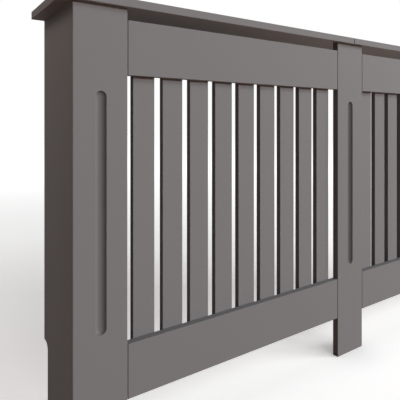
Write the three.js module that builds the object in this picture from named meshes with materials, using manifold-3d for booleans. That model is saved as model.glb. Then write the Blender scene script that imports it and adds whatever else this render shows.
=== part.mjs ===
// Radiator cover with two slatted bays, built from painted MDF boards.
// Millimetres. +X is to the right, +Y towards the wall and +Z up.
// The origin lies on the floor, under the centre of the cover's outer box.

import * as THREE from 'three';
import { mergeVertices } from 'three/addons/utils/BufferGeometryUtils.js';
import Module from 'manifold-3d';

const wasm = await Module();
wasm.setup();

// ---- Driving dimensions ----

// outer box
const overallWidth = 1520;
const overallDepth = 190;
const overallHeight = 815;

// boards
const topThickness = 15;
const sideThickness = 15;
const frameThickness = 15;      // posts and rails, flush at the front
const frontOverhang = 13;       // of the top, beyond the posts
const endOverhang = 25;         // of the top, beyond the side panels
const arris = 0.5;              // eased edge of the top boards, rails and slats
const postRounding = 1.2;       // of the posts' front edges
const jointBevel = 2;           // on the rails' front ends and along the seam of the top

// front frame
const postWidth = 100;
const railHeight = 99;
const kickHeight = 99;          // floor to the lower rail
const ventHeight = 20;          // upper rail to the top's underside

// slats
const slatsPerBay = 9;
const slatWidth = 45;
const slatThickness = 12;

// flute routed into each post with a ball-ended cutter
const fluteCutterRadius = 10;
const fluteDepth = 9.5;
const fluteEndMargin = 30;      // from the flute's ends to the rails' inner edges

// skirting notch at the rear foot of each side panel
const notchDepth = 25;
const notchHeight = 162;
const notchRadius = 14;

// beech dowels
const dowelRadius = 4;
const railDowelLength = 30;
const postDowelLength = 24;
const postDowelInTop = 9;       // part of a post dowel that stands in the top
const postDowelSpacing = 50;
const dowelChamfer = 1;

// cam fittings between the stiles and the side panels
const camRadius = 7.2;
const camCentreDistance = 24;   // from the joint to the cam's axis
const camFloor = 2.5;           // wood left behind the cam
const camSunk = 0.4;            // cam face below the panel's face
const driverSlotLength = 9;
const driverSlotWidth = 1.6;
const driverSlotDepth = 2;
const boltThreadRadius = 2.6;
const boltTipRadius = 1.3;
const boltThreadLength = 10;
const boltShankRadius = 3;
const boltNeckRadius = 1.5;
const boltNeckLength = 3;
const boltHeadRadius = 3;
const boltHeadLength = 2.4;

// steel plates, brackets and their pan-head screws
const steelThickness = 2;
const railPlateHeight = 20;
const railPlateReach = 35;      // from a joint to the plate's end
const railPlateMargin = 9.5;    // clear strip above and below a rail plate
const plateCornerRadius = 4;
const topPlateWidth = 100;
const topPlateDepth = 60;
const topPlateFromWall = 45;    // wall to the plate's centre line
const cornerBracketLeg = 26;
const cornerBracketWidth = 60;
const wallBracketLeg = 32;
const wallBracketWidth = 20;
const wallHoleRadius = 2.75;
const screwHeadRadius = 3.2;
const screwHeadHeight = 1.8;
const screwCrownRadius = 1.9;   // flat on top of the head
const screwRimHeight = 0.6;     // upright part of the head
const screwHeadSunk = 0.2;      // part of the head that stands in the steel
const screwShankRadius = 1.5;
const screwDepth = 9.5;         // in the wood
const screwEdge = 9;            // from a plate's edge to a screw's axis
const screwPitch = 14;

// clearances and cuts
const boreClearance = 0.3;      // round a pin, and beyond its end
const cutOverrun = 1;           // how far a cutter starts outside what it cuts
const mergeDistance = 1e-4;     // corners closer than this are one

// facets round a full turn
const fluteSegments = 32;
const fluteEndSegments = 8;
const camSegments = 32;
const pinSegments = 12;
const screwSegments = 8;
const cornerSegments = 3;
const bevelSegments = 4;        // a square cutter, set on edge
const notchSegments = 8;

// ---- Places worked out from the sizes ----

const frontY = -overallDepth / 2 + frontOverhang;
const frameBackY = frontY + frameThickness;
const slatBackY = frameBackY + slatThickness;
const wallY = overallDepth / 2;
const undersideZ = overallHeight - topThickness;

const bodyHalfWidth = overallWidth / 2 - endOverhang;
const bayInnerX = postWidth / 2;
const bayOuterX = bodyHalfWidth - postWidth;
const bayWidth = bayOuterX - bayInnerX;
const bayCentreX = (bayInnerX + bayOuterX) / 2;
const panelInnerX = bodyHalfWidth - sideThickness;

const lowerRail = { bottom: kickHeight, top: kickHeight + railHeight };
const upperRail = { bottom: undersideZ - ventHeight - railHeight, top: undersideZ - ventHeight };
const railMiddle = (rail) => (rail.bottom + rail.top) / 2;

// slats stop short of the rail plates, which lie along each rail's outer edge
const slatInset = railPlateHeight + 2 * railPlateMargin;
const slatGap = (bayWidth - slatsPerBay * slatWidth) / (slatsPerBay + 1);
const slatBottomZ = lowerRail.bottom + slatInset;
const slatTopZ = upperRail.top - slatInset;
const lowerPlateZ = lowerRail.bottom + slatInset / 2;
const upperPlateZ = upperRail.top - slatInset / 2;

const left = -1;
const right = 1;
const sides = [['left', left], ['right', right]];

// ---- Finishes ----

const paintedMdf = new THREE.MeshStandardMaterial({ color: 0x7b7675, roughness: 0.62 });
const zincPlate = new THREE.MeshStandardMaterial({ color: 0xb4b7ba, roughness: 0.35, metalness: 1 });
const camAlloy = new THREE.MeshStandardMaterial({ color: 0x9a9c9e, roughness: 0.5, metalness: 1 });
const beech = new THREE.MeshStandardMaterial({ color: 0xc8a678, roughness: 0.7 });

const cover = new THREE.Group();
cover.name = 'radiator_cover';

function addPiece(name, geometry, material, centre) {
  const mesh = new THREE.Mesh(geometry, material);
  mesh.name = name;
  mesh.position.copy(centre);
  cover.add(mesh);
}

// ---- Solids: joined and cut ----

function toSolid(geometry) {
  const bare = geometry.clone();
  bare.deleteAttribute('normal');
  bare.deleteAttribute('uv');
  const merged = mergeVertices(bare, mergeDistance);
  return new wasm.Manifold(new wasm.Mesh({
    numProp: 3,
    vertProperties: merged.attributes.position.array,
    triVerts: merged.index.array,
  }));
}

function toGeometry(solid) {
  const mesh = solid.getMesh();
  const geometry = new THREE.BufferGeometry();
  geometry.setAttribute('position', new THREE.BufferAttribute(mesh.vertProperties, 3));
  geometry.setIndex(new THREE.BufferAttribute(mesh.triVerts, 1));
  geometry.computeVertexNormals();
  return geometry;
}

const axisY = new THREE.Vector3(0, 1, 0);

// turns a shape made along +Y so that it runs along a direction from a point
function aim(geometry, from, along) {
  const turn = new THREE.Quaternion().setFromUnitVectors(axisY, along);
  return geometry.applyQuaternion(turn).translate(from.x, from.y, from.z);
}

// a round bar from a point, along a direction
function bar(from, along, radius, length, segments) {
  const cylinder = new THREE.CylinderGeometry(radius, radius, length, segments);
  return aim(cylinder.translate(0, length / 2, 0), from, along);
}

// ---- Holes: each is bored into whichever board holds it ----

const bores = [];

function addBore(mouth, into, radius, depth, segments) {
  bores.push({ mouth, into, radius, depth, segments });
}

function boredInto(box, hole) {
  const middle = hole.mouth.clone().addScaledVector(hole.into, hole.depth / 2);
  return box.containsPoint(middle);
}

// cuts a board's holes; the board is drawn about its centre
function boreBoard(geometry, box, cutters = []) {
  const centre = box.getCenter(new THREE.Vector3());
  let solid = toSolid(geometry);
  for (const hole of bores.filter((one) => boredInto(box, one))) {
    const start = hole.mouth.clone().addScaledVector(hole.into, -cutOverrun).sub(centre);
    const drill = bar(start, hole.into, hole.radius, hole.depth + cutOverrun, hole.segments);
    solid = solid.subtract(toSolid(drill));
  }
  for (const cutter of cutters) {
    solid = solid.subtract(toSolid(cutter.translate(-centre.x, -centre.y, -centre.z)));
  }
  return toGeometry(solid);
}

function boxBetween(x0, x1, y0, y1, z0, z1) {
  const a = new THREE.Vector3(x0, y0, z0);
  const b = new THREE.Vector3(x1, y1, z1);
  return new THREE.Box3().setFromPoints([a, b]);
}

// ---- Boards ----

// rectangle about the origin with its corners cut by the arris
function easedRectangle(width, height) {
  const x = width / 2;
  const y = height / 2;
  const shape = new THREE.Shape();
  shape.moveTo(-x + arris, -y);
  shape.lineTo(x - arris, -y);
  shape.lineTo(x, -y + arris);
  shape.lineTo(x, y - arris);
  shape.lineTo(x - arris, y);
  shape.lineTo(-x + arris, y);
  shape.lineTo(-x, y - arris);
  shape.lineTo(-x, -y + arris);
  shape.closePath();
  return shape;
}

// flat board with every edge eased, lying across local Z
function easedSheet(width, height, thickness) {
  const sheet = new THREE.ExtrudeGeometry(easedRectangle(width, height), {
    depth: thickness - 2 * arris,
    bevelEnabled: true,
    bevelThickness: arris,
    bevelSize: arris,
    bevelOffset: -arris,
    bevelSegments: 1,
  });
  return sheet.translate(0, 0, -thickness / 2 + arris);
}

function frontBoard(box) {
  const size = box.getSize(new THREE.Vector3());
  return easedSheet(size.x, size.z, size.y).rotateX(Math.PI / 2);
}

function flatBoard(box) {
  const size = box.getSize(new THREE.Vector3());
  return easedSheet(size.x, size.y, size.z);
}

// post: square back edges, so that it meets a side panel with no groove, and rounded front edges
function postBoard(box) {
  const size = box.getSize(new THREE.Vector3());
  const x = size.x / 2;
  const y = size.y / 2;
  const section = new THREE.Shape();
  const roundX = x - postRounding;
  const roundY = -y + postRounding;
  section.moveTo(x, y);
  section.lineTo(-x, y);
  section.lineTo(-x, roundY);
  section.absarc(-roundX, roundY, postRounding, Math.PI, 1.5 * Math.PI, false);
  section.lineTo(roundX, -y);
  section.absarc(roundX, roundY, postRounding, 1.5 * Math.PI, 2 * Math.PI, false);
  section.closePath();
  const post = new THREE.ExtrudeGeometry(section, {
    depth: size.z,
    bevelEnabled: false,
    curveSegments: cornerSegments,
  });
  return post.translate(0, 0, -size.z / 2);
}

// ball-ended cutter's path down the middle of a post's front face
function fluteCutter(x) {
  const endReach = Math.sqrt(fluteCutterRadius ** 2 - (fluteCutterRadius - fluteDepth) ** 2);
  const bottom = lowerRail.top + fluteEndMargin + endReach;
  const top = upperRail.bottom - fluteEndMargin - endReach;
  const travel = top - bottom;
  const cutter = new THREE.CapsuleGeometry(fluteCutterRadius, travel, fluteEndSegments, fluteSegments);
  cutter.rotateX(Math.PI / 2);
  return cutter.translate(x, frontY + fluteDepth - fluteCutterRadius, (bottom + top) / 2);
}

function addPost(name, x) {
  const half = postWidth / 2;
  const box = boxBetween(x - half, x + half, frontY, frameBackY, 0, undersideZ);
  const geometry = boreBoard(postBoard(box), box, [fluteCutter(x)]);
  addPiece(name, geometry, paintedMdf, box.getCenter(new THREE.Vector3()));
}

// takes the corner off an edge that starts at a point and runs along a direction
function bevelCutter(from, along, length) {
  const start = from.clone().addScaledVector(along, -cutOverrun);
  return bar(start, along, jointBevel, length + 2 * cutOverrun, bevelSegments);
}

function addRail(name, side, rail) {
  const box = boxBetween(side * bayInnerX, side * bayOuterX, frontY, frameBackY, rail.bottom, rail.top);
  const up = new THREE.Vector3(0, 0, 1);
  const cutters = [bayInnerX, bayOuterX].map((x) => {
    const corner = new THREE.Vector3(side * x, frontY, rail.bottom);
    return bevelCutter(corner, up, railHeight);
  });
  const geometry = boreBoard(frontBoard(box), box, cutters);
  addPiece(name, geometry, paintedMdf, box.getCenter(new THREE.Vector3()));
}

function addSlats(sideName, side) {
  const pitch = slatWidth + slatGap;
  const bayLeftX = side * bayCentreX - bayWidth / 2;
  for (let i = 0; i < slatsPerBay; i += 1) {
    const x = bayLeftX + slatGap + i * pitch;
    const box = boxBetween(x, x + slatWidth, frameBackY, slatBackY, slatBottomZ, slatTopZ);
    addPiece(`slat_${sideName}_${i + 1}`, frontBoard(box), paintedMdf, box.getCenter(new THREE.Vector3()));
  }
}

function addTopBoard(name, side) {
  const box = boxBetween(0, side * overallWidth / 2, -wallY, wallY, undersideZ, overallHeight);
  const up = new THREE.Vector3(0, 0, 1);
  const cutters = [
    bevelCutter(new THREE.Vector3(0, -wallY, undersideZ), up, topThickness),
    bevelCutter(new THREE.Vector3(0, -wallY, overallHeight), axisY, overallDepth),
  ];
  const geometry = boreBoard(flatBoard(box), box, cutters);
  addPiece(name, geometry, paintedMdf, box.getCenter(new THREE.Vector3()));
}

// side panel's outline, seen from the +X side: across is Y and up is Z
function panelOutline() {
  const notchY = wallY - notchDepth;
  const radius = Math.min(notchRadius, notchDepth - arris);
  const outline = new THREE.Shape();
  outline.moveTo(frameBackY, 0);
  outline.lineTo(notchY, 0);
  outline.lineTo(notchY, notchHeight - radius);
  outline.absarc(notchY + radius, notchHeight - radius, radius, Math.PI, Math.PI / 2, true);
  outline.lineTo(wallY, notchHeight);
  outline.lineTo(wallY, undersideZ);
  outline.lineTo(frameBackY, undersideZ);
  outline.closePath();
  return outline;
}

function addSidePanel(name, side) {
  const box = boxBetween(side * panelInnerX, side * bodyHalfWidth, frameBackY, wallY, 0, undersideZ);
  const centre = box.getCenter(new THREE.Vector3());
  const panel = new THREE.ExtrudeGeometry(panelOutline(), {
    depth: sideThickness,
    bevelEnabled: false,
    curveSegments: notchSegments,
  });
  // local X, Y, Z of the extrusion become Y, Z, X of the cover
  panel.rotateY(Math.PI / 2).rotateX(Math.PI / 2);
  panel.translate(-sideThickness / 2, -centre.y, -centre.z);
  addPiece(name, boreBoard(panel, box), paintedMdf, centre);
}

// ---- Dowels ----

// chamfered pin from a point along a direction
function dowel(length) {
  const profile = [
    new THREE.Vector2(0, 0),
    new THREE.Vector2(dowelRadius - dowelChamfer, 0),
    new THREE.Vector2(dowelRadius, dowelChamfer),
    new THREE.Vector2(dowelRadius, length - dowelChamfer),
    new THREE.Vector2(dowelRadius - dowelChamfer, length),
    new THREE.Vector2(0, length),
  ];
  return new THREE.LatheGeometry(profile, pinSegments);
}

// a dowel across a joint: its middle, or the share of it that stands in the second board
function addDowel(name, joint, along, length, beyond) {
  const start = new THREE.Vector3().addScaledVector(along, beyond - length);
  const geometry = toGeometry(toSolid(aim(dowel(length), start, along)));
  addPiece(name, geometry, beech, joint);
  const radius = dowelRadius + boreClearance;
  const back = along.clone().negate();
  addBore(joint, along, radius, beyond + boreClearance, pinSegments);
  addBore(joint, back, radius, length - beyond + boreClearance, pinSegments);
}

function addRailDowels(sideName, side) {
  const middleY = (frontY + frameBackY) / 2;
  const along = new THREE.Vector3(side, 0, 0);
  for (const [railName, rail] of [['upper', upperRail], ['lower', lowerRail]]) {
    for (const [endName, x] of [['inner', bayInnerX], ['outer', bayOuterX]]) {
      const joint = new THREE.Vector3(side * x, middleY, railMiddle(rail));
      const name = `dowel_${sideName}_${railName}_${endName}`;
      addDowel(name, joint, along, railDowelLength, railDowelLength / 2);
    }
  }
}

function addPostDowel(sideName, side) {
  const middleY = (frontY + frameBackY) / 2;
  const joint = new THREE.Vector3(side * postDowelSpacing / 2, middleY, undersideZ);
  const up = new THREE.Vector3(0, 0, 1);
  addDowel(`dowel_${sideName}_post_top`, joint, up, postDowelLength, postDowelInTop);
}

// ---- Cam fittings ----

function camBolt() {
  const headEnd = camCentreDistance + boltHeadLength / 2;
  const neckEnd = headEnd - boltHeadLength;
  const neckStart = neckEnd - boltNeckLength;
  const profile = [
    new THREE.Vector2(0, -boltThreadLength),
    new THREE.Vector2(boltTipRadius, -boltThreadLength),
    new THREE.Vector2(boltThreadRadius, boltThreadRadius - boltThreadLength),
    new THREE.Vector2(boltThreadRadius, 0),
    new THREE.Vector2(boltShankRadius, 0),
    new THREE.Vector2(boltShankRadius, neckStart),
    new THREE.Vector2(boltNeckRadius, neckStart),
    new THREE.Vector2(boltNeckRadius, neckEnd),
    new THREE.Vector2(boltHeadRadius, neckEnd),
    new THREE.Vector2(boltHeadRadius, headEnd),
    new THREE.Vector2(0, headEnd),
  ];
  return new THREE.LatheGeometry(profile, pinSegments);
}

// alloy disc with a channel for the bolt's head and a crossed driver slot; its face points along local +X
function camLock(height, boltFromFace) {
  const facing = new THREE.Vector3(1, 0, 0);
  const body = toSolid(bar(new THREE.Vector3(-height, 0, 0), facing, camRadius, height, camSegments));
  const channelStart = new THREE.Vector3(-boltFromFace, -camRadius - cutOverrun, 0);
  const channelRadius = boltHeadRadius + boreClearance;
  const channelLength = cutOverrun + camRadius + boltHeadLength / 2 + boreClearance;
  const channel = bar(channelStart, axisY, channelRadius, channelLength, pinSegments);
  // the slots are drawn about the face, so that half of each cuts
  const slotY = new THREE.BoxGeometry(2 * driverSlotDepth, driverSlotLength, driverSlotWidth);
  const slotZ = new THREE.BoxGeometry(2 * driverSlotDepth, driverSlotWidth, driverSlotLength);
  const cuts = toSolid(channel).add(toSolid(slotY)).add(toSolid(slotZ));
  return toGeometry(body.subtract(cuts));
}

function addCamFitting(place, side, z) {
  const boltX = side * (bodyHalfWidth - sideThickness / 2);
  const joint = new THREE.Vector3(boltX, frameBackY, z);
  const backwards = axisY.clone();
  const forwards = axisY.clone().negate();
  addPiece(`cam_bolt_${place}`, toGeometry(toSolid(camBolt())), zincPlate, joint);
  const holeRadius = boltShankRadius + boreClearance;
  addBore(joint, forwards, boltThreadRadius + boreClearance, boltThreadLength + boreClearance, pinSegments);
  addBore(joint, backwards, holeRadius, camCentreDistance, pinSegments);

  const pocketDepth = sideThickness - camFloor;
  const height = pocketDepth - camSunk - boreClearance;
  const outwards = new THREE.Vector3(side, 0, 0);
  const mouth = new THREE.Vector3(side * panelInnerX, frameBackY + camCentreDistance, z);
  addBore(mouth, outwards, camRadius + boreClearance, pocketDepth, camSegments);
  const face = mouth.clone().addScaledVector(outwards, camSunk);
  const lock = camLock(height, sideThickness / 2 - camSunk);
  if (side === right) {
    lock.rotateZ(Math.PI).rotateX(Math.PI);
  }
  addPiece(`cam_lock_${place}`, lock, camAlloy, face);
}

// ---- Steel plates and brackets ----

// pan-head screw: its seat is at the origin and it runs along local +Y, through the steel into the wood
function screw() {
  const end = steelThickness + screwDepth;
  const profile = [
    new THREE.Vector2(0, -screwHeadHeight),
    new THREE.Vector2(screwCrownRadius, -screwHeadHeight),
    new THREE.Vector2(screwHeadRadius, -screwRimHeight),
    new THREE.Vector2(screwHeadRadius, screwHeadSunk),
    new THREE.Vector2(screwShankRadius, screwHeadSunk),
    new THREE.Vector2(screwShankRadius, end - screwShankRadius),
    new THREE.Vector2(0, end),
  ];
  return new THREE.LatheGeometry(profile, screwSegments);
}

// fuses screws to a steel piece drawn about its own centre, and bores the wood for them
function addSteelPiece(name, geometry, centre, screws) {
  let solid = toSolid(geometry);
  for (const { seat, into } of screws) {
    solid = solid.add(toSolid(aim(screw(), seat.clone().sub(centre), into)));
    const mouth = seat.clone().addScaledVector(into, steelThickness);
    addBore(mouth, into, screwShankRadius + boreClearance, screwDepth + boreClearance, screwSegments);
  }
  addPiece(name, toGeometry(solid), zincPlate, centre);
}

function roundedPlate(width, height) {
  const x = width / 2 - plateCornerRadius;
  const y = height / 2 - plateCornerRadius;
  const outline = new THREE.Shape();
  outline.absarc(x, -y, plateCornerRadius, -Math.PI / 2, 0, false);
  outline.absarc(x, y, plateCornerRadius, 0, Math.PI / 2, false);
  outline.absarc(-x, y, plateCornerRadius, Math.PI / 2, Math.PI, false);
  outline.absarc(-x, -y, plateCornerRadius, Math.PI, 1.5 * Math.PI, false);
  outline.closePath();
  const plate = new THREE.ExtrudeGeometry(outline, {
    depth: steelThickness,
    bevelEnabled: false,
    curveSegments: cornerSegments,
  });
  return plate.translate(0, 0, -steelThickness / 2);
}

// flat plate across one or two post-to-rail joints, on the frame's back
function addRailPlate(name, x0, x1, z, screwXs) {
  const forwards = axisY.clone().negate();
  const backY = frameBackY + steelThickness;
  const centre = new THREE.Vector3((x0 + x1) / 2, frameBackY + steelThickness / 2, z);
  const plate = roundedPlate(x1 - x0, railPlateHeight).rotateX(Math.PI / 2);
  const screws = screwXs.map((x) => ({ seat: new THREE.Vector3(x, backY, z), into: forwards }));
  addSteelPiece(name, plate, centre, screws);
}

function addRailPlates(heightName, z) {
  const far = railPlateReach - screwEdge;
  const near = far - screwPitch;
  const centreEnd = bayInnerX + railPlateReach;
  const centreScrews = [-1, 1].flatMap((s) => [-near, near, far].map((d) => s * (bayInnerX + d)));
  addRailPlate(`rail_plate_centre_${heightName}`, -centreEnd, centreEnd, z, centreScrews);
  for (const [sideName, side] of sides) {
    const ends = [bayOuterX - railPlateReach, bayOuterX + railPlateReach].map((x) => side * x);
    const screwXs = [-far, -near, near, far].map((d) => side * (bayOuterX + d));
    addRailPlate(`rail_plate_${sideName}_${heightName}`, Math.min(...ends), Math.max(...ends), z, screwXs);
  }
}

function addTopPlate() {
  const up = new THREE.Vector3(0, 0, 1);
  const seatZ = undersideZ - steelThickness;
  const plateY = wallY - topPlateFromWall;
  const centre = new THREE.Vector3(0, plateY, undersideZ - steelThickness / 2);
  const screws = [];
  for (const sx of [-1, 1]) {
    for (const sy of [-1, 1]) {
      const x = sx * (topPlateWidth / 2 - screwEdge);
      const y = plateY + sy * (topPlateDepth / 2 - screwEdge);
      screws.push({ seat: new THREE.Vector3(x, y, seatZ), into: up });
    }
  }
  addSteelPiece('top_joining_plate', roundedPlate(topPlateWidth, topPlateDepth), centre, screws);
}

// angle section with its outer corner at the origin, one leg along +X and the other along -Y
function angleSection(leg) {
  const bend = steelThickness;
  const outline = new THREE.Shape();
  outline.moveTo(leg, 0);
  outline.lineTo(leg, -steelThickness);
  outline.lineTo(steelThickness + bend, -steelThickness);
  outline.absarc(steelThickness + bend, -steelThickness - bend, bend, Math.PI / 2, Math.PI, false);
  outline.lineTo(steelThickness, -leg);
  outline.lineTo(0, -leg);
  outline.lineTo(0, -bend);
  outline.absarc(bend, -bend, bend, Math.PI, Math.PI / 2, true);
  outline.closePath();
  return outline;
}

function angleBracket(leg, width) {
  const bracket = new THREE.ExtrudeGeometry(angleSection(leg), {
    depth: width,
    bevelEnabled: false,
    curveSegments: cornerSegments,
  });
  return bracket.translate(0, 0, -width / 2);
}

// holds the top down on a side panel
function addCornerBracket(name, side) {
  const corner = new THREE.Vector3(side * panelInnerX, 0, undersideZ);
  const bracket = angleBracket(cornerBracketLeg, cornerBracketWidth).rotateX(Math.PI / 2);
  if (side === right) {
    bracket.rotateZ(Math.PI);
  }
  const up = new THREE.Vector3(0, 0, 1);
  const outwards = new THREE.Vector3(side, 0, 0);
  const reach = cornerBracketLeg - screwEdge;
  const screws = [];
  for (const s of [-1, 1]) {
    const y = s * (cornerBracketWidth / 2 - screwEdge);
    const topSeat = new THREE.Vector3(side * (panelInnerX - reach), y, undersideZ - steelThickness);
    const panelSeat = new THREE.Vector3(side * (panelInnerX - steelThickness), y, undersideZ - reach);
    screws.push({ seat: topSeat, into: up }, { seat: panelSeat, into: outwards });
  }
  addSteelPiece(name, bracket, corner, screws);
}

// ties the top's rear edge to the wall; its upright leg has an open hole for a wall screw
function addWallBracket(name, side) {
  const corner = new THREE.Vector3(side * bayCentreX, wallY, undersideZ);
  const bracket = angleBracket(wallBracketLeg, wallBracketWidth).rotateX(Math.PI / 2).rotateZ(-Math.PI / 2);
  const holeStart = new THREE.Vector3(0, -steelThickness - cutOverrun, screwEdge - wallBracketLeg);
  const holeLength = steelThickness + 2 * cutOverrun;
  const hole = bar(holeStart, axisY, wallHoleRadius, holeLength, pinSegments);
  const drilled = toGeometry(toSolid(bracket).subtract(toSolid(hole)));
  const up = new THREE.Vector3(0, 0, 1);
  const far = wallBracketLeg - screwEdge;
  const screws = [far, far - screwPitch].map((reach) => {
    const seat = new THREE.Vector3(corner.x, wallY - reach, undersideZ - steelThickness);
    return { seat, into: up };
  });
  addSteelPiece(name, drilled, corner, screws);
}

// ---- Assembly: fittings first, because they say where the boards are bored ----

for (const [sideName, side] of sides) {
  addRailDowels(sideName, side);
  addPostDowel(sideName, side);
  addCamFitting(`${sideName}_upper`, side, railMiddle(upperRail));
  addCamFitting(`${sideName}_lower`, side, railMiddle(lowerRail));
  addCornerBracket(`corner_bracket_${sideName}`, side);
  addWallBracket(`wall_bracket_${sideName}`, side);
}
addRailPlates('upper', upperPlateZ);
addRailPlates('lower', lowerPlateZ);
addTopPlate();

addPost('centre_post', 0);
for (const [sideName, side] of sides) {
  addPost(`stile_${sideName}`, side * (bodyHalfWidth - postWidth / 2));
  addRail(`top_rail_${sideName}`, side, upperRail);
  addRail(`bottom_rail_${sideName}`, side, lowerRail);
  addSlats(sideName, side);
  addTopBoard(`top_board_${sideName}`, side);
  addSidePanel(`side_panel_${sideName}`, side);
}

export default cover;
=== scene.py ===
# Radiator cover in painted MDF: finishes, screw heads, staples, studio and camera.
# Metres, in the row frame: +X to the right, +Y towards the wall, +Z up, the floor at Z = 0.

import math
import random

import bmesh
import bpy
from mathutils import Matrix, Vector


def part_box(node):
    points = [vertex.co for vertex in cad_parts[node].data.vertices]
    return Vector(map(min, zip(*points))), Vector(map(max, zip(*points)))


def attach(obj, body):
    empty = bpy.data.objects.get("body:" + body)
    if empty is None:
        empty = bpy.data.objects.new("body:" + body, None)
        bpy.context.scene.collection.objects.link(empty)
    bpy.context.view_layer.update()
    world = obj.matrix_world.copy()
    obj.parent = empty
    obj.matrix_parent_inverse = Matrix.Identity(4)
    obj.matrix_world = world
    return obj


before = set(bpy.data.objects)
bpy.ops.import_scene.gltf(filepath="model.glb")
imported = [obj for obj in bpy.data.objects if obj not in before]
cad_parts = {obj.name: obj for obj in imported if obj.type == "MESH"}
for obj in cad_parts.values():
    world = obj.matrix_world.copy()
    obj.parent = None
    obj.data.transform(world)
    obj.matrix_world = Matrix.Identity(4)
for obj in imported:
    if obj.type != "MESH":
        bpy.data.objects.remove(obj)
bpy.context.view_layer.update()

BACKWARDS = Vector((0.0, 1.0, 0.0))
DOWN = Vector((0.0, 0.0, -1.0))

# ---- Camera: level, and solved from the photograph's edges ----

PHOTO_SIDE = 400              # pixels
FOCAL_PIXELS = 428.4
AXIS_COLUMN = 189.65          # where the camera's axis meets the photograph
HORIZON_ROW = 123.64
CAMERA_PLACE = (-0.9648, -0.7848, 0.5940)
CAMERA_TURN = math.radians(-33.38)
SENSOR_WIDTH = 36.0           # millimetres, as Blender's lens is

# ---- Finishes: linear colours, noise scales per metre and bump depths in metres ----

PAINT_COLOUR = (0.181, 0.177, 0.183)
PAINT_DRIFT = 0.02            # share by which the tone drifts to either side
PAINT_DRIFT_SCALE = 3.0
PAINT_ROUGHNESS = (0.68, 0.76)
PAINT_SPECULAR = 0.18
PEEL_SCALE = 260.0            # orange peel
PEEL_DEPTH = 0.00006

ZINC_TONES = ((0.50, 0.51, 0.53), (0.62, 0.62, 0.61), (0.57, 0.58, 0.60))
ZINC_ROUGHNESS = (0.28, 0.42)
BLOOM_SCALE = 60.0
ZINC_GRAIN_SCALE = 1200.0
ZINC_GRAIN_DEPTH = 0.00002

ALLOY_TONES = ((0.36, 0.37, 0.38), (0.46, 0.46, 0.47))
ALLOY_ROUGHNESS = (0.42, 0.58)
ALLOY_GRAIN_SCALE = 900.0
ALLOY_GRAIN_DEPTH = 0.00004

BEECH_TONES = ((0.42, 0.27, 0.15), (0.58, 0.40, 0.24), (0.66, 0.48, 0.30))
BEECH_ROUGHNESS = (0.5, 0.7)
BEECH_GRAIN_SCALE = 500.0
BEECH_STRETCH = 0.93          # share by which the grain is drawn out along the dowel
FLECK_SCALE = 1600.0
FLECK_DEPTH = 0.00005

# ---- Edges ----

EDGE_ROUND = 0.0003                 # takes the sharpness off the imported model's edges
EDGE_SEGMENTS = 2
WELD_REACH = 0.00001
FLAT_BELOW = math.radians(0.5)      # faces that meet at less than this become one
ROUND_ABOVE = math.radians(30)      # edges sharper than this are rounded
SMOOTH_BELOW = math.radians(50)     # edges flatter than this are shaded smoothly
FACE_WEIGHT = 100                   # how far large faces set the shading of small ones

# ---- Screw heads and staples ----

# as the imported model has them
STEEL_THICKNESS = 0.002
SCREW_EDGE = 0.009            # from a plate's edge to a screw's axis
SCREW_PITCH = 0.014
RAIL_PLATE_REACH = 0.035      # from a joint to the plate's end
CORNER_BRACKET_LEG = 0.026
WALL_BRACKET_LEG = 0.032

# pan head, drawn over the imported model's plain one
HEAD_RADIUS = 0.0036
HEAD_HEIGHT = 0.0026
# outline from the crown down to the seat, in shares of that radius and height
HEAD_OUTLINE = ((0.66, 0.93), (0.87, 0.76), (1.0, 0.4), (1.0, 0.0))
RECESS_LENGTH = 0.0040
RECESS_WIDTH = 0.0009
RECESS_DEPTH = 0.0007

# staple across a slat's end
STAPLE_CROWN = 0.011          # its length
STAPLE_WIDTH = 0.0013
STAPLE_PROUD = 0.0006         # how high it stands, and how thick it is
STAPLE_BEND = 0.0009          # how far in from its ends the crown is level
STAPLE_TILT = math.radians(6)
# half of its path, from where it leaves the wood to the level crown: how far in, and how high
STAPLE_CLIMB = (
    (0.0, -STAPLE_BEND),
    (0.0, 0.0),
    (0.3 * STAPLE_BEND, 0.7 * STAPLE_PROUD),
    (STAPLE_BEND, STAPLE_PROUD),
)
# the wire's section: shares of its half width, and of its thickness under the path
STAPLE_SECTION = ((-1.0, -1.0), (-1.0, -0.4), (-0.6, 0.0), (0.6, 0.0), (1.0, -0.4), (1.0, -1.0))
STAPLE_SPOTS = ((0.3, 0.4), (0.7, 0.6))    # shares of a slat's width and of its seat on the rail
SEED = 7

# ---- Studio ----

FLOOR_HALF = 20.0
FLOOR_LIT_COLOUR = (0.46, 0.23, 0.12)     # the warm colour of the light that it throws back
FLOOR_SEEN_COLOUR = (0.9, 0.9, 0.9)
FLOOR_ROUGHNESS = 0.9
FLOOR_GLOW = 0.54             # its glow near the object, which is seen but lights nothing
FLOOR_PAINTED_SHADE_REACH = 0.1       # how near a thing has to stand to darken that glow, a painted contact shade on the floor
FLOOR_FADE = (0.8, 4.4)       # distances over which the glow rises to white
WHITE = (1.0, 1.0, 1.0)
WARM = (1.0, 0.8, 0.67)
AMBER = (1.0, 0.71, 0.57)
BODY = (-0.2, 0.0, 0.4)
OVERHEAD = (0.9, 0.5, 1.6)    # faced by the lamp that lights the shelf's underside, not the floor
# name, place, what it faces, size, watts, colour
LAMPS = (
    ("right_front", (6.535, -4.716, 4.061), BODY, (3.5, 1.5), 415.0, WHITE),
    ("front", (3.491, -7.914, 2.577), BODY, (3.5, 1.5), 326.0, WHITE),
    ("left_front", (-0.961, -8.699, 2.577), BODY, (3.5, 1.5), 209.0, WHITE),
    ("left_fill", (-1.5, 0.17, 1.5), BODY, (0.6, 0.5), 3.5, WARM),
    ("back_fill", (1.2, 0.9, 0.1), OVERHEAD, (0.6, 0.3), 3.6, AMBER),
)

# ---- Shader nodes ----


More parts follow.
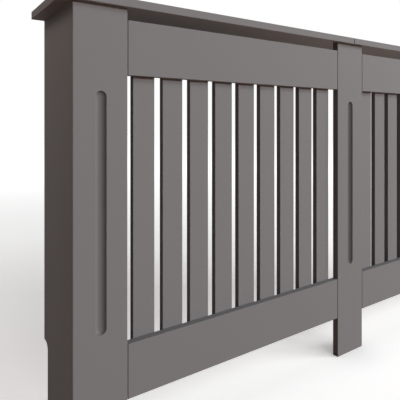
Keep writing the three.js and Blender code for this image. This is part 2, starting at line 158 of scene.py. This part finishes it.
def fill(tree, node, inputs):
    """Links each input that is given a socket, and sets any other value."""
    for name, value in inputs.items():
        if isinstance(value, bpy.types.NodeSocket):
            tree.links.new(value, node.inputs[name])
        else:
            node.inputs[name].default_value = value


def add(tree, kind, inputs=None, **settings):
    """A new node with its settings made and its inputs filled."""
    node = tree.nodes.new(kind)
    for name, value in settings.items():
        setattr(node, name, value)
    fill(tree, node, inputs or {})
    return node


def noise(tree, place, scale, detail):
    inputs = {"Vector": place, "Scale": scale, "Detail": detail}
    return add(tree, "ShaderNodeTexNoise", inputs).outputs["Fac"]


def spread(tree, value, low, high, start=0.0, end=1.0):
    """Maps start to end on to low to high."""
    inputs = {"Value": value, "From Min": start, "From Max": end, "To Min": low, "To Max": high}
    return add(tree, "ShaderNodeMapRange", inputs).outputs["Result"]


def tones(tree, value, colours):
    """Colours spaced evenly over 0 to 1."""
    node = add(tree, "ShaderNodeValToRGB", {"Fac": value})
    stops = node.color_ramp.elements
    while len(stops) < len(colours):
        stops.new(0.5)
    for i, colour in enumerate(colours):
        stops[i].position = i / (len(colours) - 1)
        stops[i].color = (*colour, 1.0)
    return node.outputs["Color"]


def shaded(colour, share):
    return tuple(channel * share for channel in colour)


def bump(tree, height, depth):
    return add(tree, "ShaderNodeBump", {"Height": height, "Distance": depth}).outputs["Normal"]


def new_material(name):
    """A plain material, its tree, and the place on the object in metres."""
    material = bpy.data.materials.new(name)
    material.use_nodes = True
    tree = material.node_tree
    place = add(tree, "ShaderNodeTexCoord").outputs["Object"]
    return material, tree, place


def finish_with(tree, inputs):
    fill(tree, tree.nodes["Principled BSDF"], inputs)


# ---- Finishes ----


def painted_mdf():
    """Sprayed matt paint: slow drift in tone, fine orange peel."""
    material, tree, place = new_material("painted_mdf_finish")
    drift = noise(tree, place, PAINT_DRIFT_SCALE, 3.0)
    peel = noise(tree, place, PEEL_SCALE, 2.0)
    darker, lighter = shaded(PAINT_COLOUR, 1 - PAINT_DRIFT), shaded(PAINT_COLOUR, 1 + PAINT_DRIFT)
    finish_with(tree, {
        "Base Color": tones(tree, drift, (darker, PAINT_COLOUR, lighter)),
        "Roughness": spread(tree, peel, *PAINT_ROUGHNESS),
        "Specular IOR Level": PAINT_SPECULAR,
        "Normal": bump(tree, peel, PEEL_DEPTH),
    })
    return material


def zinc_plate():
    """Bright zinc plate: faint bloom and a fine grain."""
    material, tree, place = new_material("zinc_plate_finish")
    bloom = noise(tree, place, BLOOM_SCALE, 3.0)
    grain = noise(tree, place, ZINC_GRAIN_SCALE, 2.0)
    finish_with(tree, {
        "Base Color": tones(tree, bloom, ZINC_TONES),
        "Metallic": 1.0,
        "Roughness": spread(tree, bloom, *ZINC_ROUGHNESS),
        "Normal": bump(tree, grain, ZINC_GRAIN_DEPTH),
    })
    return material


def cam_alloy():
    """Die-cast zinc alloy: dull, with a fine cast grain."""
    material, tree, place = new_material("cam_alloy_finish")
    grain = noise(tree, place, ALLOY_GRAIN_SCALE, 3.0)
    finish_with(tree, {
        "Base Color": tones(tree, grain, ALLOY_TONES),
        "Metallic": 1.0,
        "Roughness": spread(tree, grain, *ALLOY_ROUGHNESS),
        "Normal": bump(tree, grain, ALLOY_GRAIN_DEPTH),
    })
    return material


def beech(name, along):
    """Turned beech: grain along the dowel, with short dark flecks."""
    material, tree, place = new_material(name)
    squeeze = Vector((1.0, 1.0, 1.0)) - BEECH_STRETCH * Vector(along)
    stretched = add(tree, "ShaderNodeMapping", {"Vector": place, "Scale": squeeze}).outputs["Vector"]
    grain = noise(tree, stretched, BEECH_GRAIN_SCALE, 4.0)
    fleck = noise(tree, stretched, FLECK_SCALE, 1.0)
    finish_with(tree, {
        "Base Color": tones(tree, grain, BEECH_TONES),
        "Roughness": spread(tree, fleck, *BEECH_ROUGHNESS),
        "Normal": bump(tree, fleck, FLECK_DEPTH),
    })
    return material


def finish_nodes():
    """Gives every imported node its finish, and returns the finishes by slot."""
    by_slot = {
        "painted_mdf": painted_mdf(),
        "zinc_plated_steel": zinc_plate(),
        "cam_alloy": cam_alloy(),
        "beech": beech("beech_level_finish", (1.0, 0.0, 0.0)),
    }
    upright_beech = beech("beech_upright_finish", (0.0, 0.0, 1.0))
    for name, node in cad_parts.items():
        for held in node.material_slots:
            held.material = by_slot[held.material.name]
        if name.endswith("_post_top"):
            node.material_slots[0].material = upright_beech
    return by_slot


# ---- Edges ----


def smooth_by_angle():
    """A node group that shades smoothly, and breaks the shading at the sharper edges."""
    group = bpy.data.node_groups.new("smooth_by_angle", "GeometryNodeTree")
    group.interface.new_socket("Geometry", in_out="INPUT", socket_type="NodeSocketGeometry")
    group.interface.new_socket("Geometry", in_out="OUTPUT", socket_type="NodeSocketGeometry")
    start = add(group, "NodeGroupInput").outputs[0]
    angle = add(group, "GeometryNodeInputMeshEdgeAngle").outputs["Unsigned Angle"]
    sharp = add(group, "FunctionNodeCompare", {0: angle, 1: SMOOTH_BELOW}, operation="GREATER_THAN")
    faces = add(group, "GeometryNodeSetShadeSmooth", {"Geometry": start})
    cuts = {"Geometry": faces.outputs[0], "Selection": sharp.outputs[0], "Shade Smooth": False}
    edges = add(group, "GeometryNodeSetShadeSmooth", cuts, domain="EDGE")
    add(group, "NodeGroupOutput", {0: edges.outputs[0]})
    return group


def soften(piece, shading):
    """Rounds a piece's sharp edges a little and keeps its flat faces flat."""
    weld = piece.modifiers.new("weld", "WELD")
    weld.merge_threshold = WELD_REACH
    flat = piece.modifiers.new("flat", "DECIMATE")
    flat.decimate_type = "DISSOLVE"
    flat.angle_limit = FLAT_BELOW
    rounded = piece.modifiers.new("rounded", "BEVEL")
    rounded.width = EDGE_ROUND
    rounded.segments = EDGE_SEGMENTS
    rounded.limit_method = "ANGLE"
    rounded.angle_limit = ROUND_ABOVE
    smooth = piece.modifiers.new("smooth", "NODES")
    smooth.node_group = shading
    fair = piece.modifiers.new("fair", "WEIGHTED_NORMAL")
    fair.weight = FACE_WEIGHT
    fair.keep_sharp = True


# ---- Screw heads and staples ----


def facing(seat, outwards, spin):
    """Places a shape made at the origin, facing +Z, on a seat."""
    turn = outwards.to_track_quat("Z", "Y").to_matrix() @ Matrix.Rotation(spin, 3, "Z")
    return Matrix.Translation(seat) @ turn.to_4x4()


def pan_head():
    """A pan head: a grid of quads with a cross sunk in it, and rings from its rim down to the seat."""
    bm = bmesh.new()
    # the grid's lines, of which the outermost are bent round into the first ring
    lines = (None, -RECESS_LENGTH / 2, -RECESS_WIDTH / 2, RECESS_WIDTH / 2, RECESS_LENGTH / 2, None)
    last = len(lines) - 1
    rim = [(i, 0) for i in range(last)] + [(last, j) for j in range(last)]
    rim += [(last - i, last) for i in range(last)] + [(0, last - j) for j in range(last)]
    first_corner = math.radians(225)
    angles = [first_corner + 2 * math.pi * k / len(rim) for k in range(len(rim))]
    rings = []
    for across, up in HEAD_OUTLINE:
        radius, height = across * HEAD_RADIUS, up * HEAD_HEIGHT
        rings.append([bm.verts.new((radius * math.cos(a), radius * math.sin(a), height)) for a in angles])
    grid = dict(zip(rim, rings[0]))
    for i in range(1, last):
        for j in range(1, last):
            grid[i, j] = bm.verts.new((lines[i], lines[j], HEAD_HEIGHT))
    faces = {}
    for i in range(last):
        for j in range(last):
            faces[i, j] = bm.faces.new([grid[i, j], grid[i + 1, j], grid[i + 1, j + 1], grid[i, j + 1]])
    # the middle cell and its four neighbours
    cross = [faces[cell] for cell in ((2, 2), (1, 2), (3, 2), (2, 1), (2, 3))]
    sunk = bmesh.ops.extrude_face_region(bm, geom=cross)["geom"]
    bmesh.ops.delete(bm, geom=cross, context="FACES_ONLY")
    recess_floor = [v for v in sunk if isinstance(v, bmesh.types.BMVert)]
    bmesh.ops.translate(bm, verts=recess_floor, vec=(0.0, 0.0, -RECESS_DEPTH))
    join_rings(bm, rings)
    bm.faces.new(reversed(rings[-1]))
    return to_mesh(bm, "pan_head")


def join_rings(bm, rings):
    """Faces from each ring to the next, all the way round."""
    for near, far in zip(rings, rings[1:]):
        for k in range(len(near)):
            after = (k + 1) % len(near)
            bm.faces.new([near[k], far[k], far[after], near[after]])


def staple():
    """A staple's crown along X, its ends bent down into the wood."""
    bm = bmesh.new()
    left = [Vector((inset - STAPLE_CROWN / 2, 0.0, height)) for inset, height in STAPLE_CLIMB]
    path = left + [Vector((-point.x, 0.0, point.z)) for point in reversed(left)]
    rings = []
    for k, point in enumerate(path):
        along = (path[min(k + 1, len(path) - 1)] - path[max(k - 1, 0)]).normalized()
        outwards = Vector((0.0, 1.0, 0.0)).cross(along)
        ring = []
        for across, depth in STAPLE_SECTION:
            offset = Vector((0.0, across * STAPLE_WIDTH / 2, 0.0)) + outwards * depth * STAPLE_PROUD
            ring.append(bm.verts.new(point + offset))
        rings.append(ring)
    join_rings(bm, rings)
    bm.faces.new(rings[0])
    bm.faces.new(reversed(rings[-1]))
    bmesh.ops.recalc_face_normals(bm, faces=bm.faces)
    return to_mesh(bm, "staple")


def to_mesh(bm, name):
    mesh = bpy.data.meshes.new(name)
    bm.to_mesh(mesh)
    bm.free()
    return mesh


def add_copies(name, shape, places, finish):
    """One piece of many copies of a shape, each placed by its matrix."""
    bm = bmesh.new()
    for place in places:
        one = shape.copy()
        one.transform(place)
        bm.from_mesh(one)
        bpy.data.meshes.remove(one)
    mesh = to_mesh(bm, name)
    mesh.materials.append(finish)
    piece = bpy.data.objects.new(name, mesh)
    bpy.context.scene.collection.objects.link(piece)
    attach(piece, "root")
    return piece


def between(low, high, share):
    return low + (high - low) * share


def staple_places():
    """The staples through each end of every slat, on the slats' backs."""
    chance = random.Random(SEED)
    for name in sorted(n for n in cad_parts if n.startswith("slat_")):
        side = name.split("_")[1]
        low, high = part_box(name)
        for rail in ("top_rail", "bottom_rail"):
            rail_low, rail_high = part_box(f"{rail}_{side}")
            bottom, top = max(low.z, rail_low.z), min(high.z, rail_high.z)
            for across, up in STAPLE_SPOTS:
                seat = Vector((between(low.x, high.x, across), high.y, between(bottom, top, up)))
                yield facing(seat, BACKWARDS, chance.uniform(-STAPLE_TILT, STAPLE_TILT))


def screw_seats():
    """Where each screw's head sits on its steel, and the way it faces."""
    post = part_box("centre_post")[1]
    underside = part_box("top_board_left")[0].z
    far = RAIL_PLATE_REACH - SCREW_EDGE
    near = far - SCREW_PITCH
    for name in (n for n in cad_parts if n.startswith("rail_plate_")):
        low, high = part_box(name)
        middle = (low + high) / 2
        xs = [middle.x + d for d in (-far, -near, near, far)]
        if "centre" in name:
            xs = [s * (post.x + d) for s in (-1, 1) for d in (-near, near, far)]
        for x in xs:
            yield Vector((x, post.y + STEEL_THICKNESS, middle.z)), BACKWARDS
    low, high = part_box("top_joining_plate")
    for x in (low.x + SCREW_EDGE, high.x - SCREW_EDGE):
        for y in (low.y + SCREW_EDGE, high.y - SCREW_EDGE):
            yield Vector((x, y, underside - STEEL_THICKNESS)), DOWN
    for side, inwards in (("left", 1), ("right", -1)):
        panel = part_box(f"side_panel_{side}")[1 if side == "left" else 0].x
        low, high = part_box(f"corner_bracket_{side}")
        reach = CORNER_BRACKET_LEG - SCREW_EDGE
        for y in (low.y + SCREW_EDGE, high.y - SCREW_EDGE):
            on_top = Vector((panel + inwards * reach, y, underside - STEEL_THICKNESS))
            on_panel = Vector((panel + inwards * STEEL_THICKNESS, y, underside - reach))
            yield on_top, DOWN
            yield on_panel, Vector((inwards, 0.0, 0.0))
        low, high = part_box(f"wall_bracket_{side}")
        reach = WALL_BRACKET_LEG - SCREW_EDGE
        for y in (high.y - reach, high.y - reach + SCREW_PITCH):
            yield Vector(((low.x + high.x) / 2, y, underside - STEEL_THICKNESS)), DOWN


def screw_places():
    """The places of the screw heads, each with its cross turned another way."""
    chance = random.Random(SEED)
    for seat, outwards in screw_seats():
        yield facing(seat, outwards, chance.uniform(0.0, math.pi / 2))


# ---- Studio ----


def white_for_the_eye(tree):
    """1 for rays that show the background, straight, in a gloss or in glass, and 0 for rays of light."""
    path = add(tree, "ShaderNodeLightPath").outputs
    seen = path["Is Camera Ray"]
    for kind in ("Is Glossy Ray", "Is Transmission Ray"):
        seen = add(tree, "ShaderNodeMath", {0: seen, 1: path[kind]}, operation="MAXIMUM").outputs[0]
    return seen


def add_world():
    """White behind everything, and no light from it."""
    world = bpy.data.worlds.new("studio")
    bpy.context.scene.world = world
    world.use_nodes = True
    tree = world.node_tree
    tree.nodes.clear()
    backdrop = {"Color": (*WHITE, 1.0), "Strength": white_for_the_eye(tree)}
    white = add(tree, "ShaderNodeBackground", backdrop).outputs[0]
    add(tree, "ShaderNodeOutputWorld", {"Surface": white})


def add_floor():
    """A pale floor that keeps the object's shadow, with painted contact shade where its glow is darkened
    near things, and turns to white further away.
    """
    mesh = bpy.data.meshes.new("floor")
    corners = [(-1, -1), (1, -1), (1, 1), (-1, 1)]
    mesh.from_pydata([(FLOOR_HALF * x, FLOOR_HALF * y, 0.0) for x, y in corners], [], [(0, 1, 2, 3)])
    floor = bpy.data.objects.new("floor", mesh)
    bpy.context.scene.collection.objects.link(floor)
    material, tree, place = new_material("pale_floor")
    seen = white_for_the_eye(tree)
    away = add(tree, "ShaderNodeVectorMath", {0: place}, operation="LENGTH").outputs["Value"]
    glow = spread(tree, away, FLOOR_GLOW, 1.0, *FLOOR_FADE)
    # painted shade: ambient occlusion darkens the floor's glow near things, as a painted contact shadow
    painted_shade_factor = add(tree, "ShaderNodeAmbientOcclusion", {"Distance": FLOOR_PAINTED_SHADE_REACH}).outputs["AO"]
    for share in (painted_shade_factor, seen):
        glow = add(tree, "ShaderNodeMath", {0: glow, 1: share}, operation="MULTIPLY").outputs[0]
    finish_with(tree, {
        "Base Color": tones(tree, seen, (FLOOR_LIT_COLOUR, FLOOR_SEEN_COLOUR)),
        "Roughness": FLOOR_ROUGHNESS,
        "Specular IOR Level": 0.0,
        "Emission Color": (*WHITE, 1.0),
        "Emission Strength": glow,
    })
    mesh.materials.append(material)


def look_at(obj, target):
    """Turns a lamp towards a point."""
    away = obj.location - Vector(target)
    obj.rotation_mode = "QUATERNION"
    obj.rotation_quaternion = away.to_track_quat("Z", "Y")


def add_lamps():
    """Large lamps far in front, and two small ones beside and behind."""
    for name, place, target, size, watts, colour in LAMPS:
        lamp = bpy.data.lights.new(name, "AREA")
        lamp.shape = "RECTANGLE"
        lamp.size, lamp.size_y = size
        lamp.energy = watts
        lamp.color = colour
        stand = bpy.data.objects.new(name, lamp)
        stand.location = place
        look_at(stand, target)
        stand.visible_camera = False
        bpy.context.scene.collection.objects.link(stand)


def add_camera():
    """The photograph's camera, with its axis shifted as the framing needs."""
    lens = bpy.data.cameras.new("camera")
    lens.sensor_width = SENSOR_WIDTH
    lens.lens = SENSOR_WIDTH * FOCAL_PIXELS / PHOTO_SIDE
    lens.shift_x = (PHOTO_SIDE / 2 - AXIS_COLUMN) / PHOTO_SIDE
    lens.shift_y = (HORIZON_ROW - PHOTO_SIDE / 2) / PHOTO_SIDE
    camera = bpy.data.objects.new("camera", lens)
    camera.location = CAMERA_PLACE
    camera.rotation_euler = (math.radians(90), 0.0, CAMERA_TURN)
    bpy.context.scene.collection.objects.link(camera)
    bpy.context.scene.camera = camera


# ---- The scene ----

add_camera()
finishes = finish_nodes()
shading = smooth_by_angle()
fasteners = [
    add_copies("screw_heads", pan_head(), screw_places(), finishes["zinc_plated_steel"]),
    add_copies("slat_staples", staple(), staple_places(), finishes["zinc_plated_steel"]),
]
for piece in (*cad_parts.values(), *fasteners):
    soften(piece, shading)
add_world()
add_floor()
add_lamps()
bpy.context.scene.view_settings.view_transform = "Standard"
